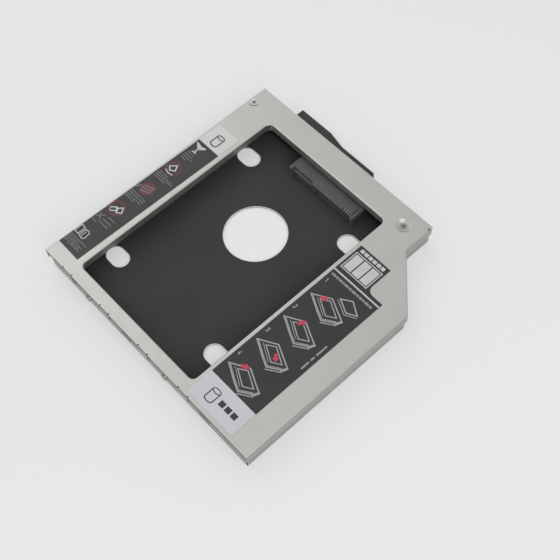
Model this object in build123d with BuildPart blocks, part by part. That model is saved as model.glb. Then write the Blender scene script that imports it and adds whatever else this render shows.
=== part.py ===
from build123d import *

import os
from math import sqrt

# Drive caddy: a flat aluminium box with a corner cut away, the size of a slim optical drive.
# A 2.5 inch drive drops through the window in its lid and slides back onto a socket.
# +X runs across the caddy, +Y from its front edge to its plug, +Z up.
# The origin is the centre of the bounding box on the underside. All sizes are in millimetres.

os.makedirs("parts", exist_ok=True)

# Drive that the caddy holds
drive_width = 69.85
drive_length = 100.2
drive_height = 9.5
drive_hole_pitch = 76.6    # between its front and rear bottom screw holes
socket_offset = 4.7        # its socket's centre, from its own centre line
drive_gap_left = 0.8       # window's left edge to the drive
drive_gap_right = 2.25
drive_front_room = 5.9     # window's front edge to the seated drive
drive_rear_room = 1.5
drive_headroom = 1.4       # drive to the underside of the lid

# Strips of the lid round the window
left_strip = 16.7
right_strip = 38.4
front_strip = 6.3
rear_strip = 12.1
window_radius = 2.5
lip_height = 3.2           # fold round the window, below the lid's sheet

# Cut corner and plug
cut_leg = 22.0             # each leg of the 45 degree cut
step_depth = 16.0          # straight stretch behind the cut
plug_reach = 6.2           # how far the plug stands out behind the lid

# Folded sheet
lid_sheet = 0.8
tray_sheet = 0.8
lid_bend = 0.6             # outer bend radius of the lid
tray_bend = 1.2            # outer bend radius of the tray
lid_gap = 0.1              # between the lid's flanges and the tray's walls
front_wall_drop = 3.2      # open slit between the tray's front wall and the lid
flange_height = 5.2        # lid flanges, from the top of the lid down
corner_slit = 0.5          # open seam between two folded walls

# Hook tabs along the lid's front edge
tab_count = 4
tab_pitch = 25.2
tab_row_shift = -0.35      # middle of the row, from the window's centre line
tab_width = 5.2
tab_height = 5.6
tab_relief_width = 0.6
tab_relief_depth = 1.0
rear_relief_width = 0.9    # notch at the rear end of the narrow part's right fold
rear_relief_depth = 0.9
rear_relief_ahead = 2.0    # its middle, from the lid's rear edge

# Openings in the floor
floor_shift = -2.3         # line that they are centred on, from the drive's centre line
round_hole_d = 28.2
round_hole_ahead = 38.1    # its centre, in front of the drive's connector end
slot_width = 8.4
slot_length = 11.6
slot_spread = 66.0         # between the left and the right slots
slot_ahead = 12.6          # rear pair, in front of the drive's connector end
film_thickness = 0.2
film_margin = 0.4          # film holes are this much wider all round
film_edge = 1.0            # film to the tray's wall
film_overhang = 3.8        # film's right edge, beyond the window

# Screws that hold the lid
left_screw_inset = 2.8     # from the lid's left side
left_screw_ahead = 9.1     # from the lid's rear edge
right_screw_shift = -1.0   # from the middle of the narrow strip
right_screw_ahead = 8.3
screw_head_r = 1.75
screw_head_h = 0.75
screw_shank_r = 0.95
lid_screw_length = 3.4
screw_hole_clearance = 0.1
tapped_clearance = 0.05    # between a shank and the thread that it stands in
dimple_r = 3.5
dimple_floor_r = 2.3
dimple_depth = 0.7
ear_length = 7.0           # tray ear under the left screw
ear_width = 3.8
post_r = 2.6               # post under the right screw

# Circuit board
board_thickness = 1.0
board_lift = 2.6           # board above the tray's floor
board_left_gap = 10.3      # board to the tray's left wall
board_right_inset = 1.2    # board's right end, inside the window's right edge
board_rear_gap = 0.3       # board to the tray's rear wall
board_tongue_inset = 1.4   # tongue's sides, in from the socket's ends
board_tongue_ahead = 2.6   # tongue's front, in front of the socket's rear
board_front_gap = 0.8      # board's front edge, behind the socket
board_screw_ahead = 5.8    # from the lid's rear edge
board_screw_inset = 4.0    # from the board's ends
board_hole_r = 1.2
standoff_r = 2.1
pan_head_r = 1.9
pan_head_h = 1.2
pan_head_edge = 0.4        # bevel round the head
pan_screw_length = 3.2
recess_width = 0.55        # arm of a cross recess
recess_length = 2.2
recess_depth = 0.55

# Contacts
contact_pitch = 1.27
contact_thickness = 0.25
socket_contact_width = 0.6
plug_contact_width = 0.7
socket_signal_count = 7
socket_power_count = 15
socket_block_gap = 6.35    # last signal contact to first power contact
plug_signal_count = 7
plug_power_count = 6
plug_block_gap = 6.2
tongue_end = 1.2           # plastic beyond the outer contacts
key_width = 1.2            # upright leg of an L shaped slot or tongue
key_height = 1.3

# Drive socket
socket_end = 3.9           # outer contacts to the housing's ends
socket_arm_width = 1.7
socket_arm_reach = 0.8
socket_engaged = 5.2       # socket's front, in front of the drive's connector end
socket_length = 7.4        # front to rear
socket_step = 1.2          # signal half's upper front stands back
socket_step_height = 1.4
socket_drop = 1.4          # front part, below the board's underside
socket_height = 5.0
socket_slot_rise = 1.7     # underside of its slots, above its own underside
socket_slot_height = 1.35
socket_slot_depth = 5.2
socket_contact_start = 0.9 # contacts begin this far inside the front
tail_reach = 1.7           # solder tails, behind the housing
clip_width = 1.6
clip_thickness = 0.4
clip_foot = 1.8
clip_height = 1.5

# Plug to the computer
plug_width = 49.7
plug_inset = 7.4           # plug's left end, from the board's left end
plug_overlap = 6.0         # plug's housing, inside the tray
plug_roof = 0.7            # above its mouth
plug_floor = 2.5           # below its mouth
plug_deep_width = 18.6     # its deeper left part
plug_slope_length = 9.0
plug_step = 1.9            # left part reaches this much further back than the right one
plug_corner = 2.2          # cut rear right corner
plug_mouth_inset = 26.6    # middle of the mouth, from the plug's left end
plug_mouth_margin = 1.5    # beside the tongues
plug_mouth_lift = 0.5      # mouth above the board
plug_mouth_height = 3.1
plug_mouth_depth = 8.0
plug_tongue_lift = 1.0     # tongues above the mouth's underside
plug_tongue_height = 1.1
plug_tongue_recess = 0.9   # tongue tips, inside the mouth
plug_pocket_width = 6.0
plug_pocket_height = 2.4
plug_pocket_depth = 4.0
plug_opening_clearance = 0.4

# Clamp screws in the front wall
clamp_spread = 50.0
clamp_z = 5.4
clamp_nut_flats = 5.0
clamp_nut_length = 5.0
clamp_pilot_r = 2.1
clamp_bore_r = 1.5
clamp_running_clearance = 0.05
clamp_engaged = 1.5        # thread still held when the screw is fully in
clamp_nose_proud = 0.2     # nose beyond the nut when the screw is out
clamp_nose_r = 0.9
clamp_nose_length = 1.3
clamp_slot_width = 0.5
clamp_slot_depth = 0.8

# Slots and nuts for what is fixed to the caddy's ends
bezel_slot_width = 7.0
bezel_slot_height = 2.2
bezel_slot_drop = 3.5      # slots' middle, below the front wall's top
bezel_slot_spread = (-37.5, 0.0, 49.5)
bracket_nut_inset = 10.5   # middle of the pair, from the narrow part's right side
bracket_nut_pitch = 12.0
bracket_nut_z = 7.0
bracket_nut_flats = 4.0
bracket_nut_length = 2.2
bracket_pilot_r = 1.4
bracket_thread_r = 0.8
pilot_clearance = 0.03

# Stickers
sticker_thickness = 0.15
strip_left_margin = 1.0    # from the lid's left side
strip_right_margin = 2.7   # from the window
strip_front = 7.0
strip_length = 90.0
strip_turn = -0.66         # stuck on slightly askew, in degrees
panel_left_margin = 1.9    # from the window
panel_right_margin = 10.6  # from the lid's right side
panel_front = 2.0
panel_corner_gap = 4.0     # panel's body ends this far in front of the cut corner
panel_head_width = 17.0
panel_head_length = 13.9
panel_scoop_r = 3.4

# Small parts on the board
capacitor_size = (2.0, 1.25, 0.9)
resistor_size = (1.6, 0.8, 0.45)
chip_pitch = 2.6
chip_count = 3
chip_gap = 3.0             # first chip, from the socket's left end
capacitor_behind = 2.0     # behind the socket
resistor_behind = 3.6

# Overall size, from the drive and what surrounds it
window_width = drive_gap_left + drive_width + drive_gap_right
window_length = drive_front_room + drive_length + drive_rear_room
caddy_width = left_strip + window_width + right_strip
caddy_depth = front_strip + window_length + rear_strip
caddy_height = tray_sheet + film_thickness + drive_height + drive_headroom + lid_sheet
side_x = caddy_width / 2
step_x = side_x - cut_leg
front_y = -(caddy_depth + plug_reach) / 2

# Levels, from the underside up
floor_top = tray_sheet
board_under = floor_top + board_lift
board_top = board_under + board_thickness
lid_top = caddy_height
lid_under = lid_top - lid_sheet
socket_bottom = board_under - socket_drop
socket_slot_z = socket_bottom + socket_slot_rise
plug_mouth_z = board_top + plug_mouth_lift
plug_tongue_z = plug_mouth_z + plug_tongue_lift
plug_bottom = plug_mouth_z - plug_floor
plug_top = plug_mouth_z + plug_mouth_height + plug_roof
front_wall_top = lid_under - front_wall_drop
bezel_slot_z = front_wall_top - bezel_slot_drop

# Lines across the caddy
tray_inset = lid_sheet + lid_gap
tray_inner_inset = tray_inset + tray_sheet
wall_inner_x = side_x - tray_inner_inset
window_left_x = -side_x + left_strip
window_right_x = window_left_x + window_width
window_x = (window_left_x + window_right_x) / 2
drive_x = window_left_x + drive_gap_left + drive_width / 2
socket_x = drive_x + socket_offset
floor_x = drive_x + floor_shift
board_left_x = -wall_inner_x + board_left_gap
board_right_x = window_right_x - board_right_inset
plug_left_x = board_left_x + plug_inset
plug_right_x = plug_left_x + plug_width
plug_deep_end_x = plug_left_x + plug_deep_width
plug_mouth_x = plug_left_x + plug_mouth_inset
bracket_nut_x = step_x - bracket_nut_inset
strip_width = left_strip - strip_left_margin - strip_right_margin
strip_x = -side_x + strip_left_margin + strip_width / 2
panel_left_x = window_right_x + panel_left_margin
panel_width = right_strip - panel_left_margin - panel_right_margin

# Distances behind the lid's front edge
drive_end = caddy_depth - rear_strip - drive_rear_room
round_hole_back = drive_end - round_hole_ahead
slot_rear_back = drive_end - slot_ahead
socket_front = drive_end - socket_engaged
socket_rear = socket_front + socket_length
board_tongue_front = socket_rear - board_tongue_ahead
board_front = socket_rear + board_front_gap
board_rear = caddy_depth - tray_sheet - board_rear_gap
plug_rear = caddy_depth + plug_reach
plug_front = caddy_depth - tray_sheet - plug_overlap
panel_length = caddy_depth - step_depth - cut_leg - panel_corner_gap - panel_front

# Screws' places: x, and distance behind the lid's front edge
lid_screw_left = (-side_x + left_screw_inset, caddy_depth - left_screw_ahead)
lid_screw_right = (
    (window_right_x + step_x) / 2 + right_screw_shift,
    caddy_depth - right_screw_ahead,
)


def aft(distance):
    """Y of a place that lies a distance behind the lid's front edge."""
    return front_y + distance


def plan(inset, front, rear):
    """Corners of the caddy's plan with its sides moved in by inset, between two Y values."""
    side = side_x - inset
    step = step_x - inset
    corner_rear = aft(caddy_depth - step_depth) - inset * (sqrt(2) - 1)
    corner_front = corner_rear - cut_leg
    return [
        (-side, front),
        (side, front),
        (side, corner_front),
        (step, corner_rear),
        (step, rear),
        (-side, rear),
    ]


def slit_places(corners):
    """Place and turn of the open seam at each corner of a folded wall."""
    places = []
    for i, corner in enumerate(corners):
        here = Vector(*corner)
        before = (here - Vector(*corners[i - 1])).normalized()
        after = (Vector(*corners[(i + 1) % len(corners)]) - here).normalized()
        inward = after - before
        turn = Vector(1, 0).get_signed_angle(inward, Vector(0, 0, 1))
        places.append((here, turn))
    return places


def row(count, centre):
    """X of each contact in a row."""
    return [centre + (i - (count - 1) / 2) * contact_pitch for i in range(count)]


# Lid: one folded sheet with a window, side flanges, front hook tabs and two screw seats
lid_outline = plan(0, aft(0), aft(caddy_depth))
lid_void = plan(lid_sheet, aft(-1), aft(caddy_depth + 1))
tab_x = [
    window_x + tab_row_shift + (i - (tab_count - 1) / 2) * tab_pitch for i in range(tab_count)
]
window_y = aft(front_strip + window_length / 2)

with BuildPart() as top_plate:
    with BuildSketch(Plane.XY.offset(lid_top - flange_height)):
        with BuildLine():
            Polyline(*lid_outline, close=True)
        make_face()
    extrude(amount=flange_height)
    folded = (
        top_plate.faces().sort_by(Axis.Z)[-1].edges()
        .filter_by(lambda edge: abs(edge.tangent_at(0.5).Y) > 0.1)
    )
    fillet(folded, lid_bend)
    with BuildSketch(Plane.XY.offset(lid_under)):
        with BuildLine():
            Polyline(*lid_void, close=True)
        make_face()
    extrude(amount=-flange_height, mode=Mode.SUBTRACT)
    # Fold round the window
    with BuildSketch(Plane.XY.offset(lid_under - lip_height)):
        with Locations((window_x, window_y)):
            RectangleRounded(
                window_width + 2 * lid_sheet, window_length + 2 * lid_sheet, window_radius + lid_sheet
            )
    extrude(amount=lip_height)
    with BuildSketch(Plane.XY.offset(lid_under - lip_height)):
        with Locations((window_x, window_y)):
            RectangleRounded(window_width, window_length, window_radius)
    extrude(amount=lip_height + lid_sheet, mode=Mode.SUBTRACT)
    window_rim = (
        top_plate.faces().sort_by(Axis.Z)[-1].inner_wires()[0].edges()
    )
    fillet(window_rim, lid_bend)
    # Hook tabs, bent down between two relief notches
    with Locations(*[(x, aft(lid_sheet / 2), lid_top) for x in tab_x]):
        Box(tab_width, lid_sheet, tab_height, align=(Align.CENTER, Align.CENTER, Align.MAX))
    with Locations(*[(x, aft(0), lid_top) for x in tab_x]):
        with Locations(
            (-(tab_width + tab_relief_width) / 2, 0, 0),
            ((tab_width + tab_relief_width) / 2, 0, 0),
        ):
            Box(tab_relief_width, 2 * tab_relief_depth, 3 * lid_sheet, mode=Mode.SUBTRACT)
    tab_bends = (
        top_plate.edges().filter_by(Axis.X).filter_by_position(Axis.Z, lid_top - 0.01, lid_top + 0.01)
        .filter_by_position(Axis.Y, aft(0) - 0.01, aft(0) + 0.01)
        .filter_by(lambda edge: edge.length < tab_width + 0.01)
    )
    fillet(tab_bends, lid_bend)
    with Locations((step_x, aft(caddy_depth - rear_relief_ahead), lid_top)):
        Box(2 * rear_relief_depth, rear_relief_width, 3 * lid_sheet, mode=Mode.SUBTRACT)
    # Open seams between the flanges at the lid's corners
    for place, turn in slit_places(lid_outline):
        with BuildSketch(Plane.XY.offset(lid_under)):
            with Locations(Location((place.X, place.Y, 0), (0, 0, turn))):
                Rectangle(6 * lid_sheet, corner_slit)
        extrude(amount=-flange_height, mode=Mode.SUBTRACT)
    # Pressed dimple under the right screw
    with BuildSketch(Plane.XY.offset(lid_under)):
        with Locations((lid_screw_right[0], aft(lid_screw_right[1]))):
            Circle(dimple_r)
    with BuildSketch(Plane.XY.offset(lid_under - dimple_depth)):
        with Locations((lid_screw_right[0], aft(lid_screw_right[1]))):
            Circle(dimple_floor_r)
    loft()
    with BuildSketch(Plane.XY.offset(lid_top)):
        with Locations((lid_screw_right[0], aft(lid_screw_right[1]))):
            Circle(dimple_r)
    with BuildSketch(Plane.XY.offset(lid_top - dimple_depth)):
        with Locations((lid_screw_right[0], aft(lid_screw_right[1]))):
            Circle(dimple_floor_r)
    loft(mode=Mode.SUBTRACT)
    # Countersunk screw holes
    with Locations(
        (lid_screw_left[0], aft(lid_screw_left[1]), lid_top),
        (lid_screw_right[0], aft(lid_screw_right[1]), lid_top - dimple_depth),
    ):
        CounterSinkHole(
            radius=screw_shank_r + screw_hole_clearance,
            counter_sink_radius=screw_head_r + screw_hole_clearance,
            depth=2 * lid_sheet,
            counter_sink_angle=90,
        )

# Tray: one folded sheet with four walls, a plug opening, floor openings and an ear for a screw
tray_front = aft(tray_inset)
tray_rear = aft(caddy_depth)
tray_outline = plan(tray_inset, tray_front, tray_rear)
tray_void = plan(tray_inner_inset, tray_front + tray_sheet, tray_rear - tray_sheet)
wall_inner_y = tray_front + tray_sheet
slot_places = [
    (floor_x + side * slot_spread / 2, aft(slot_rear_back - row_ahead))
    for row_ahead in (drive_hole_pitch, 0)
    for side in (-1, 1)
]
clamp_x = (drive_x - clamp_spread / 2, drive_x + clamp_spread / 2)
bracket_x = (bracket_nut_x - bracket_nut_pitch / 2, bracket_nut_x + bracket_nut_pitch / 2)

with BuildPart() as bottom_tray:
    with BuildSketch():
        with BuildLine():
            Polyline(*tray_outline, close=True)
        make_face()
    extrude(amount=lid_under)
    fillet(bottom_tray.faces().sort_by(Axis.Z)[0].edges(), tray_bend)
    with BuildSketch(Plane.XY.offset(floor_top)):
        with BuildLine():
            Polyline(*tray_void, close=True)
        make_face()
    extrude(amount=lid_under, mode=Mode.SUBTRACT)
    inner_floor = bottom_tray.faces().filter_by(Axis.Z).filter_by_position(
        Axis.Z, floor_top - 0.01, floor_top + 0.01
    )
    fillet(inner_floor.edges(), tray_bend - tray_sheet)
    # Front wall stops short of the lid
    with BuildSketch(Plane.XY.offset(front_wall_top)):
        with Locations((0, tray_front)):
            Rectangle(caddy_width, 2 * tray_sheet, align=(Align.CENTER, Align.CENTER))
    extrude(amount=2 * front_wall_drop, mode=Mode.SUBTRACT)
    # Open seams between the walls
    for place, turn in slit_places(tray_outline):
        with BuildSketch(Plane.XY.offset(tray_bend)):
            with Locations(Location((place.X, place.Y, 0), (0, 0, turn))):
                Rectangle(6 * tray_sheet, corner_slit)
        extrude(amount=lid_under, mode=Mode.SUBTRACT)
    # Round hole and slots through the floor
    with BuildSketch():
        with Locations((floor_x, aft(round_hole_back))):
            Circle(round_hole_d / 2)
        with Locations(*slot_places):
            SlotOverall(slot_length, slot_width)
    extrude(amount=floor_top, mode=Mode.SUBTRACT)
    # Opening in the rear wall for the plug
    with BuildSketch(Plane.XY.offset(plug_bottom - plug_opening_clearance)):
        with Locations(((plug_left_x + plug_right_x) / 2, tray_rear)):
            Rectangle(plug_right_x - plug_left_x + 2 * plug_opening_clearance, 4 * tray_sheet)
    extrude(amount=lid_under, mode=Mode.SUBTRACT)
    # Front wall: holes for the clamp nuts and slots for a bezel
    with BuildSketch(Plane.XZ.offset(-wall_inner_y)):
        with Locations(*[(x, clamp_z) for x in clamp_x]):
            Circle(clamp_pilot_r)
        with Locations(*[(drive_x + x, bezel_slot_z) for x in bezel_slot_spread]):
            Rectangle(bezel_slot_width, bezel_slot_height)
    extrude(amount=2 * tray_sheet, both=True, mode=Mode.SUBTRACT)
    # Rear wall: holes for the bracket nuts
    with BuildSketch(Plane.XZ.offset(-tray_rear)):
        with Locations(*[(x, bracket_nut_z) for x in bracket_x]):
            Circle(bracket_pilot_r)
    extrude(amount=2 * tray_sheet, both=True, mode=Mode.SUBTRACT)
    # Ear folded in from the left wall, tapped for the left lid screw
    with BuildSketch(Plane.XY.offset(lid_under)):
        with Locations((-wall_inner_x, aft(lid_screw_left[1]))):
            Rectangle(ear_width, ear_length, align=(Align.MIN, Align.CENTER))
    extrude(amount=-tray_sheet)
    with Locations((lid_screw_left[0], aft(lid_screw_left[1]), lid_under)):
        Hole(screw_shank_r + tapped_clearance, depth=2 * tray_sheet)

# Insulating film on the floor
film_left_x = -wall_inner_x + film_edge
film_front = wall_inner_y + film_edge
film_rear = tray_rear - tray_sheet - film_edge
standoff_x = (board_left_x + board_screw_inset, board_right_x - board_screw_inset)
standoff_y = aft(caddy_depth - board_screw_ahead)

with BuildPart() as floor_film:
    with BuildSketch(Plane.XY.offset(floor_top)):
        with Locations((film_left_x, film_front)):
            Rectangle(
                window_right_x + film_overhang - film_left_x,
                film_rear - film_front,
                align=(Align.MIN, Align.MIN),
            )
        with Locations((floor_x, aft(round_hole_back))):
            Circle(round_hole_d / 2 + film_margin, mode=Mode.SUBTRACT)
        with Locations(*slot_places):
            SlotOverall(slot_length + 2 * film_margin, slot_width + 2 * film_margin, mode=Mode.SUBTRACT)
        with Locations(*[(x, standoff_y) for x in standoff_x]):
            Circle(standoff_r + film_margin, mode=Mode.SUBTRACT)
    extrude(amount=film_thickness)

# Post that carries the lid's right screw
with BuildPart() as lid_post:
    with BuildSketch(Plane.XY.offset(floor_top)):
        with Locations((lid_screw_right[0], aft(lid_screw_right[1]))):
            Circle(post_r)
            Circle(screw_shank_r + tapped_clearance, mode=Mode.SUBTRACT)
    extrude(amount=lid_under - dimple_depth - floor_top)

# Standoffs that carry the board
with BuildPart() as board_standoffs:
    with BuildSketch(Plane.XY.offset(floor_top)):
        with Locations(*[(x, standoff_y) for x in standoff_x]):
            Circle(standoff_r)
            Circle(screw_shank_r + tapped_clearance, mode=Mode.SUBTRACT)
    extrude(amount=board_lift)

# Circuit board, with a tongue under the drive socket
socket_span = (
    (socket_signal_count - 1 + socket_power_count - 1) * contact_pitch + socket_block_gap
)
socket_width = socket_span + 2 * socket_end
tongue_width = socket_width - 2 * board_tongue_inset

with BuildPart() as circuit_board:
    with BuildSketch(Plane.XY.offset(board_under)):
        with Locations((board_left_x, aft(board_front))):
            Rectangle(
                board_right_x - board_left_x, board_rear - board_front, align=(Align.MIN, Align.MIN)
            )
        with Locations((socket_x, aft(board_tongue_front))):
            Rectangle(tongue_width, board_front - board_tongue_front, align=(Align.CENTER, Align.MIN))
        with Locations(*[(x, standoff_y) for x in standoff_x]):
            Circle(board_hole_r, mode=Mode.SUBTRACT)
    extrude(amount=board_thickness)

# Chip parts soldered on the board
chip_x = [socket_x - socket_width / 2 - chip_gap - i * chip_pitch for i in range(chip_count)]

with BuildPart() as chip_capacitors:
    with Locations(*[(x, aft(socket_rear + capacitor_behind), board_top) for x in chip_x]):
        Box(*capacitor_size, align=(Align.CENTER, Align.CENTER, Align.MIN))

with BuildPart() as chip_resistors:
    with Locations(*[(x, aft(socket_rear + resistor_behind), board_top) for x in chip_x]):
        Box(*resistor_size, align=(Align.CENTER, Align.CENTER, Align.MIN))

# Screws: a countersunk one for the lid and a pan head one for the board, each with a cross recess
with BuildPart() as countersunk_screw:
    with BuildSketch(Plane.XZ):
        with BuildLine():
            Polyline(
                (0, 0),
                (screw_head_r, 0),
                (screw_shank_r, -screw_head_h),
                (screw_shank_r, -lid_screw_length),
                (0, -lid_screw_length),
                close=True,
            )
        make_face()
    revolve(axis=Axis.Z)
    with BuildSketch():
        Rectangle(recess_length, recess_width)
        Rectangle(recess_width, recess_length)
    extrude(amount=-recess_depth, taper=12, mode=Mode.SUBTRACT)

with BuildPart() as pan_screw:
    with BuildSketch(Plane.XZ):
        with BuildLine():
            Polyline(
                (0, pan_head_h),
                (pan_head_r - pan_head_edge, pan_head_h),
                (pan_head_r, pan_head_h - pan_head_edge),
                (pan_head_r, 0),
                (screw_shank_r, 0),
                (screw_shank_r, -pan_screw_length),
                (0, -pan_screw_length),
                close=True,
            )
        make_face()
    revolve(axis=Axis.Z)
    with BuildSketch(Plane.XY.offset(pan_head_h)):
        Rectangle(recess_length, recess_width)
        Rectangle(recess_width, recess_length)
    extrude(amount=-recess_depth, mode=Mode.SUBTRACT)

with BuildPart() as lid_screws:
    with Locations(
        (lid_screw_left[0], aft(lid_screw_left[1]), lid_top),
        (lid_screw_right[0], aft(lid_screw_right[1]), lid_top - dimple_depth),
    ):
        add(countersunk_screw.part)

with BuildPart() as board_screws:
    with Locations(*[(x, standoff_y, board_top) for x in standoff_x]):
        add(pan_screw.part)

# Drive socket: rows of contacts, each a bent strip from its slot to its solder tail
signal_x = socket_x - socket_span / 2 + (socket_signal_count - 1) * contact_pitch / 2
power_x = socket_x + socket_span / 2 - (socket_power_count - 1) * contact_pitch / 2
socket_rows = {
    "signal": (row(socket_signal_count, signal_x), signal_x, socket_signal_count),
    "power": (row(socket_power_count, power_x), power_x, socket_power_count),
}
socket_ceiling = socket_slot_z + socket_slot_height
tail_z = board_top + contact_thickness / 2

with BuildPart() as socket_contact:
    with BuildSketch(Plane.YZ):
        with BuildLine():
            Polyline(
                (aft(socket_front + socket_contact_start), socket_ceiling),
                (aft(socket_rear), socket_ceiling),
                (aft(socket_rear + 0.5), tail_z),
                (aft(socket_rear + tail_reach), tail_z),
            )
        trace(line_width=contact_thickness)
    extrude(amount=socket_contact_width / 2, both=True)

with BuildPart() as socket_signal_contacts:
    with Locations(*[(x, 0, 0) for x in socket_rows["signal"][0]]):
        add(socket_contact.part)

with BuildPart() as socket_power_contacts:
    with Locations(*[(x, 0, 0) for x in socket_rows["power"][0]]):
        add(socket_contact.part)

# Solder clips at the ends of the drive socket
clip_x = (tongue_width - clip_width) / 2
clip_y = aft(socket_rear)

with BuildPart() as socket_clips:
    with BuildSketch(Plane.YZ):
        with Locations((clip_y, board_top)):
            Rectangle(clip_foot, clip_thickness, align=(Align.MIN, Align.MIN))
            Rectangle(clip_thickness, clip_height, align=(Align.MIN, Align.MIN))
    extrude(amount=clip_width / 2, both=True)
    left_clip = socket_clips.part.moved(Location((socket_x - clip_x, 0, 0)))
    right_clip = socket_clips.part.moved(Location((socket_x + clip_x, 0, 0)))
    add(left_clip, mode=Mode.REPLACE)
    add(right_clip)

# Drive socket's housing
with BuildPart() as socket_housing:
    body_width = socket_width - 2 * socket_arm_width
    with BuildSketch(Plane.XY.offset(socket_bottom)):
        with Locations((socket_x, aft(socket_front))):
            Rectangle(
                body_width, board_tongue_front - socket_front - lid_gap, align=(Align.CENTER, Align.MIN)
            )
        with Locations(
            (socket_x - (socket_width - socket_arm_width) / 2, aft(socket_front - socket_arm_reach)),
            (socket_x + (socket_width - socket_arm_width) / 2, aft(socket_front - socket_arm_reach)),
        ):
            Rectangle(
                socket_arm_width,
                socket_arm_reach + board_tongue_front - socket_front - lid_gap,
                align=(Align.CENTER, Align.MIN),
            )
    extrude(amount=socket_height)
    with BuildSketch(Plane.XY.offset(board_top)):
        with Locations((socket_x, aft(board_tongue_front - 1))):
            Rectangle(socket_width, socket_rear - board_tongue_front + 1, align=(Align.CENTER, Align.MIN))
    extrude(amount=socket_bottom + socket_height - board_top)
    # Upper front of the signal half stands back
    signal_left = socket_x - body_width / 2
    signal_right = signal_x + (socket_signal_count - 1) * contact_pitch / 2 + tongue_end + key_width
    with BuildSketch(Plane.XY.offset(socket_bottom + socket_height)):
        with Locations((signal_left, aft(socket_front))):
            Rectangle(signal_right - signal_left, socket_step, align=(Align.MIN, Align.MIN))
    extrude(amount=-socket_step_height, mode=Mode.SUBTRACT)
    # L shaped slots for the drive's two tongues
    for places, centre, count in socket_rows.values():
        half = (count - 1) * contact_pitch / 2 + tongue_end
        with BuildSketch(Plane.XZ.offset(-aft(socket_front))):
            with Locations((centre, socket_slot_z)):
                Rectangle(2 * half, socket_slot_height, align=(Align.CENTER, Align.MIN))
            with Locations((centre - half, socket_slot_z - key_height)):
                Rectangle(
                    key_width, key_height + socket_slot_height, align=(Align.MIN, Align.MIN)
                )
        extrude(amount=-socket_slot_depth, mode=Mode.SUBTRACT)
    guide_edges = (
        socket_housing.faces().sort_by(Axis.Y)[0:2].edges().filter_by(Axis.Z)
    )
    chamfer(guide_edges, 0.5)
    add(socket_signal_contacts.part, mode=Mode.SUBTRACT)
    add(socket_power_contacts.part, mode=Mode.SUBTRACT)

# Plug to the computer: two tongues with contacts in a wide moulded housing
plug_span = (plug_signal_count - 1 + plug_power_count - 1) * contact_pitch + plug_block_gap
plug_signal_x = plug_mouth_x - plug_span / 2 + (plug_signal_count - 1) * contact_pitch / 2
plug_power_x = plug_mouth_x + plug_span / 2 - (plug_power_count - 1) * contact_pitch / 2
plug_rows = (
    (plug_signal_x, plug_signal_count),
    (plug_power_x, plug_power_count),
)
plug_tip = plug_rear - plug_step - plug_tongue_recess
plug_contact_z = plug_tongue_z + plug_tongue_height - contact_thickness / 2

with BuildPart() as plug_contact:
    with BuildSketch(Plane.YZ):
        with BuildLine():
            Polyline(
                (aft(plug_front - tail_reach), tail_z),
                (aft(plug_front + 0.8), tail_z),
                (aft(plug_front + 1.8), plug_contact_z),
                (aft(plug_tip - 0.4), plug_contact_z),
            )
        trace(line_width=contact_thickness)
    extrude(amount=plug_contact_width / 2, both=True)

with BuildPart() as plug_signal_contacts:
    with Locations(*[(x, 0, 0) for x in row(plug_signal_count, plug_signal_x)]):
        add(plug_contact.part)

with BuildPart() as plug_power_contacts:
    with Locations(*[(x, 0, 0) for x in row(plug_power_count, plug_power_x)]):
        add(plug_contact.part)

# Solder clips at the front of the plug's housing
with BuildPart() as plug_clips:
    with BuildSketch(Plane.YZ):
        with Locations((aft(plug_front), board_top)):
            Rectangle(clip_foot, clip_thickness, align=(Align.MAX, Align.MIN))
            Rectangle(clip_thickness, clip_height, align=(Align.MAX, Align.MIN))
    extrude(amount=clip_width / 2, both=True)
    left_clip = plug_clips.part.moved(Location((plug_left_x + 2 * clip_width, 0, 0)))
    right_clip = plug_clips.part.moved(Location((plug_right_x - 2 * clip_width, 0, 0)))
    add(left_clip, mode=Mode.REPLACE)
    add(right_clip)

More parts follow.
